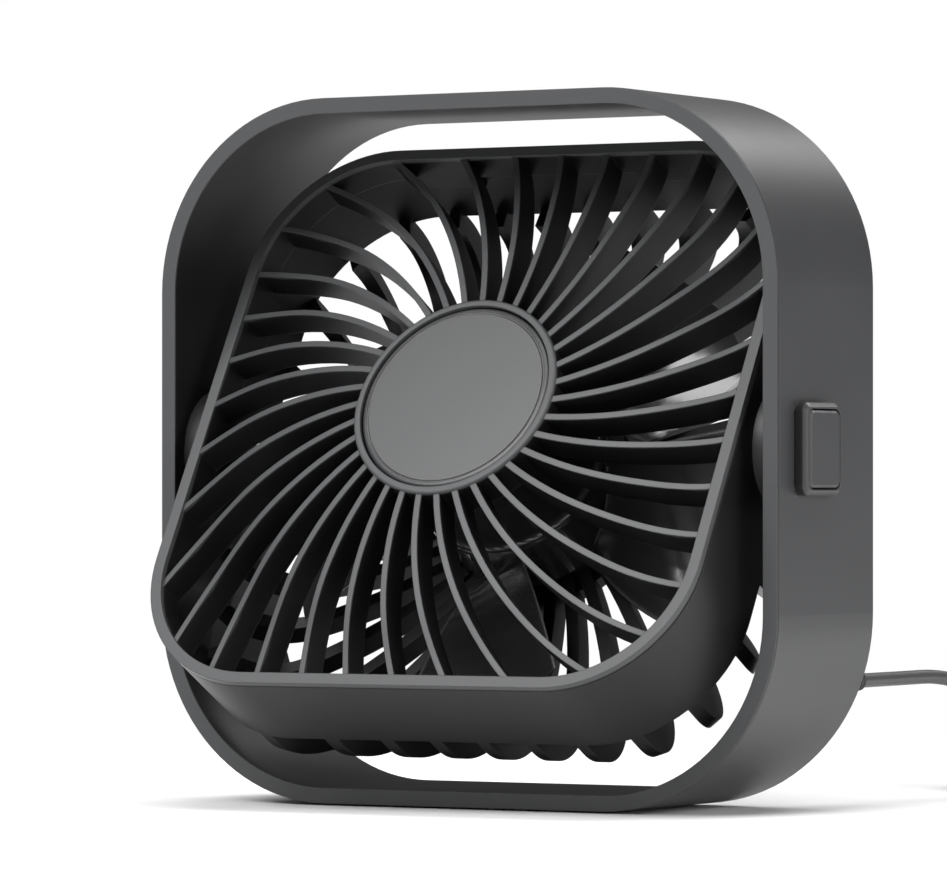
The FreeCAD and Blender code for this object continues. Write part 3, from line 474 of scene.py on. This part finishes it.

# The grille's front edges are painted lighter and finer than its near-black sides: a painted highlight
# on the edges and painted shade on the sides. They lie on a dome that falls from the hub to the rim
# with the cube of the distance from the axis.
grille_painted_shade_and_highlight = moulded("grille_painted_shade_and_highlight", (0.004, 0.004, 0.0045), (0.007, 0.007, 0.0075),
                         (0.03, 0.03, 0.031), 0.42, 0.1, 3600, 3e-6, 0.0003, 0.02)
tree = grille_painted_shade_and_highlight.node_tree
tree.nodes["Principled BSDF"].inputs["Specular IOR Level"].default_value = 0.35
pivot = Vector((0, -0.0044, 0.0734))
head_tilt = math.radians(30)
facing = Vector((0, -math.cos(head_tilt), math.sin(head_tilt)))
half_head = 0.0641
dome_fall = 0.0062
edge_start = 0.0215
edge_full = 0.0218
forward, offset = reach_along(grille_painted_shade_and_highlight, facing, pivot)
crossed = tree.nodes.new("ShaderNodeVectorMath")
crossed.operation = "CROSS_PRODUCT"
crossed.inputs[1].default_value = facing
radius = tree.nodes.new("ShaderNodeVectorMath")
radius.operation = "LENGTH"
share = tree.nodes.new("ShaderNodeMapRange")
share.inputs["From Max"].default_value = half_head
cube = tree.nodes.new("ShaderNodeMath")
cube.operation = "POWER"
cube.inputs[1].default_value = 3.0
dome = tree.nodes.new("ShaderNodeMath")
dome.operation = "MULTIPLY_ADD"
dome.inputs[1].default_value = dome_fall
tree.links.new(offset, crossed.inputs[0])
tree.links.new(crossed.outputs["Vector"], radius.inputs[0])
tree.links.new(radius.outputs["Value"], share.inputs["Value"])
tree.links.new(share.outputs["Result"], cube.inputs[0])
tree.links.new(cube.outputs["Value"], dome.inputs[0])
tree.links.new(forward, dome.inputs[2])
# The lighter satin laid on the front edges here is a painted highlight.
lighter_where(grille_painted_shade_and_highlight, dome.outputs["Value"], edge_start, edge_full, (0.055, 0.056, 0.058), 0.4)
finish_in(grille_painted_shade_and_highlight, "front_cover")
cap_plastic = moulded("cap_plastic", (0.031, 0.032, 0.034), (0.038, 0.039, 0.041), (0.1, 0.1, 0.103),
                      0.34, 0.06, 4200, 1.5e-6, 0.0003, 0.04)

# The cap is a disc with a fine groove just inside its rounded edge and a very slight crown. Each
# ring is a radius and a place along the fan's axis.
cap_rings = (
    (0.0212, -0.0193), (0.0212, -0.0213), (0.02105, -0.02165), (0.0208, -0.0218), (0.02035, -0.02185),
    (0.02025, -0.0216), (0.02005, -0.02155), (0.01985, -0.0216), (0.01975, -0.02187),
    (0.015, -0.0219), (0.010, -0.02192), (0.005, -0.02193),
)
bpy.ops.mesh.primitive_circle_add(vertices=160, radius=cap_rings[0][0], fill_type="NOTHING",
                                  location=(0, cap_rings[0][1], 0), rotation=(math.radians(90), 0, 0))
cap = bpy.context.object
cap.name = "hub_disc"
bpy.ops.object.transform_apply(location=True, rotation=True, scale=True)
bpy.ops.object.mode_set(mode="EDIT")
bpy.ops.mesh.select_all(action="SELECT")
for (before, y), (radius, next_y) in zip(cap_rings, cap_rings[1:]):
    bpy.ops.mesh.extrude_region_move(TRANSFORM_OT_translate={"value": (0, next_y - y, 0)})
    share = radius / before
    bpy.ops.transform.resize(value=(share, 1, share), center_override=(0, next_y, 0))
bpy.ops.mesh.extrude_region_move()
bpy.ops.mesh.merge(type="CENTER")
bpy.ops.mesh.select_all(action="SELECT")
bpy.ops.mesh.fill_holes(sides=0)
bpy.ops.mesh.normals_make_consistent(inside=False)
bpy.ops.object.mode_set(mode="OBJECT")
cap.rotation_euler = (-head_tilt, 0, 0)
cap.location = pivot
bpy.ops.object.transform_apply(location=True, rotation=True, scale=True)
bpy.ops.object.shade_smooth_by_angle(angle=math.radians(35))
cap.data.materials.append(cap_plastic)
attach(cap, "head")
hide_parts("hub_cap")


# ---- grommet and strain relief -------------------------------------------------------------------
# A soft grommet in the frame's rear corner holds the cord, and a short tapered sleeve with
# grooves round it lets the cord bend gently.
finish_in(inner_plastic, "cord_gland")
relief_radius = 0.00235
relief_length = 0.008
relief_taper = 0.12
ring_groove = 0.17
slices = 24
exit_x, relief_end, exit_z = lead_points[0]
relief_start = relief_end - relief_length
bpy.ops.mesh.primitive_cylinder_add(
    vertices=48,
    radius=relief_radius,
    depth=relief_length,
    end_fill_type="NGON",
    location=(exit_x, relief_end - relief_length / 2, exit_z),
    rotation=(math.radians(-90), 0, 0),
)
sleeve = bpy.context.object
sleeve.name = "ribbed_relief"
bpy.ops.object.transform_apply(location=True, rotation=True, scale=True)
bpy.ops.object.mode_set(mode="EDIT")
for number in range(1, slices):
    bpy.ops.mesh.select_all(action="SELECT")
    bpy.ops.mesh.bisect(
        plane_co=(0, relief_start + number * relief_length / slices, 0), plane_no=(0, 1, 0)
    )
bpy.ops.object.mode_set(mode="OBJECT")
for corner in sleeve.data.vertices:
    share = (corner.co.y - relief_start) / relief_length
    slice_number = round(share * slices)
    narrowing = 1.0 - relief_taper * share
    if 2 < slice_number < slices - 1 and slice_number % 4 in (1, 2):
        narrowing -= ring_groove
    corner.co.x = exit_x + (corner.co.x - exit_x) * narrowing
    corner.co.z = exit_z + (corner.co.z - exit_z) * narrowing
bpy.ops.object.shade_smooth_by_angle(angle=math.radians(50))
sleeve.data.materials.append(inner_plastic)
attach(sleeve, "frame")
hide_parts("strain_relief")


# ---- cord jacket and tie -------------------------------------------------------------------------
# The jacket is satin grey PVC. A strap of hook-and-loop tape goes over the coil's turns.
cord_jacket = moulded("cord_jacket", (0.040, 0.040, 0.042), (0.055, 0.055, 0.057), (0.08, 0.08, 0.08),
                      0.42, 0.1, 2600, 4e-6, 0.0002, 0.03)
cord.data.materials.append(cord_jacket)
tie_tape = moulded("tie_tape", (0.010, 0.010, 0.011), (0.022, 0.022, 0.023), (0.03, 0.03, 0.03),
                   0.85, 0.1, 2600, 6e-5, 0.0002, 0.1)
finish_in(tie_tape, "cord_tie")


# ---- plug ----------------------------------------------------------------------------------------
# A standard flat power plug: a matt moulded grip and neck, a folded nickel-plated shell with two
# square windows, a white tongue and four gilt contacts.
plug_plastic = moulded("plug_plastic", (0.016, 0.016, 0.017), (0.024, 0.024, 0.025), (0.05, 0.05, 0.05),
                       0.5, 0.1, 3000, 5e-6, 0.0004, 0.05)
finish_in(plug_plastic, "plug_neck")
low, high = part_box("plug_body")
bpy.ops.mesh.primitive_cube_add(size=1.0, location=(low + high) / 2)
grip = bpy.context.object
grip.name = "plug_grip"
grip.scale = high - low
bpy.ops.object.transform_apply(location=True, rotation=True, scale=True)
bpy.ops.object.modifier_add(type="BEVEL")
grip.modifiers["Bevel"].width = 0.0012
grip.modifiers["Bevel"].segments = 5
grip.modifiers["Bevel"].limit_method = "ANGLE"
bpy.ops.object.modifier_apply(modifier="Bevel")
bpy.ops.object.mode_set(mode="EDIT")
bpy.ops.mesh.select_all(action="DESELECT")
bpy.ops.object.mode_set(mode="OBJECT")
for face in grip.data.polygons:
    face.select = abs(face.normal.z) > 0.99 and face.area > 0.0001
bpy.ops.object.mode_set(mode="EDIT")
bpy.ops.mesh.inset(thickness=0.0012, use_individual=True)
bpy.ops.mesh.inset(thickness=0.0003, depth=-0.00025, use_individual=True)
bpy.ops.object.mode_set(mode="OBJECT")
bpy.ops.object.shade_smooth_by_angle(angle=math.radians(35))
grip.data.materials.append(plug_plastic)
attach(grip, "frame")
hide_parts("plug_body")
nickel = bright_metal("nickel", (0.64, 0.64, 0.65), (0.76, 0.76, 0.77), 0.2, 0.08, 4000, (0.06, 1, 1))
finish_in(nickel, "usb_shell")
contact_white = moulded("contact_white", (0.7, 0.7, 0.68), (0.76, 0.76, 0.74), (0.8, 0.8, 0.8),
                        0.4, 0.1, 2000, 2e-6, 0.0002, 0.0)
finish_in(contact_white, "usb_tongue")
finish_in(brass, "usb_contacts")


# ---- floor and light -----------------------------------------------------------------------------
# A plain white floor that runs into the white of the room. Large soft lamps stand above the front,
# straight above and on the button side, and a strip behind draws the frame's upper corner.
bpy.ops.mesh.primitive_plane_add(size=40.0, location=(0, 0, 0))
floor = bpy.context.object
floor.name = "floor"
floor_white = bpy.data.materials.new("floor_white")
floor_white.use_nodes = True
tree = floor_white.node_tree
painted = tree.nodes["Principled BSDF"]
painted.inputs["Base Color"].default_value = (0.9, 0.9, 0.9, 1)
painted.inputs["Roughness"].default_value = 0.7
painted.inputs["Specular IOR Level"].default_value = 0.2
glow = tree.nodes.new("ShaderNodeEmission")
place = tree.nodes.new("ShaderNodeTexCoord")
distance = tree.nodes.new("ShaderNodeVectorMath")
distance.operation = "LENGTH"
fade = tree.nodes.new("ShaderNodeMapRange")
fade.interpolation_type = "SMOOTHSTEP"
fade.inputs["From Min"].default_value = 0.14
fade.inputs["From Max"].default_value = 0.4
seen_far = tree.nodes.new("ShaderNodeMath")
seen_far.operation = "MULTIPLY"
ray = tree.nodes.new("ShaderNodeLightPath")
blend = tree.nodes.new("ShaderNodeMixShader")
tree.links.new(place.outputs["Object"], distance.inputs[0])
tree.links.new(distance.outputs["Value"], fade.inputs["Value"])
tree.links.new(fade.outputs["Result"], seen_far.inputs[0])
tree.links.new(ray.outputs["Is Camera Ray"], seen_far.inputs[1])
tree.links.new(seen_far.outputs["Value"], blend.inputs[0])
tree.links.new(painted.outputs[0], blend.inputs[1])
tree.links.new(glow.outputs[0], blend.inputs[2])
tree.links.new(blend.outputs[0], tree.nodes["Material Output"].inputs["Surface"])
floor.data.materials.append(floor_white)

lamps = (
    ("key_lamp", (-0.35, -1.0, 1.0), (1.0, 0.8), 22.0),
    ("top_lamp", (0.1, 0.1, 1.5), (1.2, 1.2), 22.0),
    ("side_lamp", (1.3, -0.1, 0.45), (0.8, 0.8), 11.0),
    ("corner_lamp", (0.25, 1.0, 0.95), (0.5, 0.25), 4.0),
)
for name, place, (across, down), power in lamps:
    bpy.ops.object.light_add(type="AREA", location=place)
    lamp = bpy.context.object
    lamp.name = name
    lamp.data.shape = "RECTANGLE"
    lamp.data.size = across
    lamp.data.size_y = down
    lamp.data.energy = power
    lamp.rotation_euler = (Vector((0, 0, 0.07)) - Vector(place)).to_track_quat("-Z", "Y").to_euler()

world = bpy.data.worlds.new("studio")
bpy.context.scene.world = world
world.use_nodes = True
tree = world.node_tree
backdrop = tree.nodes["Background"]
backdrop.inputs["Color"].default_value = (1, 1, 1, 1)
backdrop.inputs["Strength"].default_value = 0.12
seen = tree.nodes.new("ShaderNodeBackground")
seen.inputs["Color"].default_value = (1, 1, 1, 1)
seen.inputs["Strength"].default_value = 1.0
path = tree.nodes.new("ShaderNodeLightPath")
either = tree.nodes.new("ShaderNodeMixShader")
tree.links.new(path.outputs["Is Camera Ray"], either.inputs[0])
tree.links.new(backdrop.outputs[0], either.inputs[1])
tree.links.new(seen.outputs[0], either.inputs[2])
tree.links.new(either.outputs[0], tree.nodes["World Output"].inputs["Surface"])
bpy.context.scene.view_settings.view_transform = "Standard"
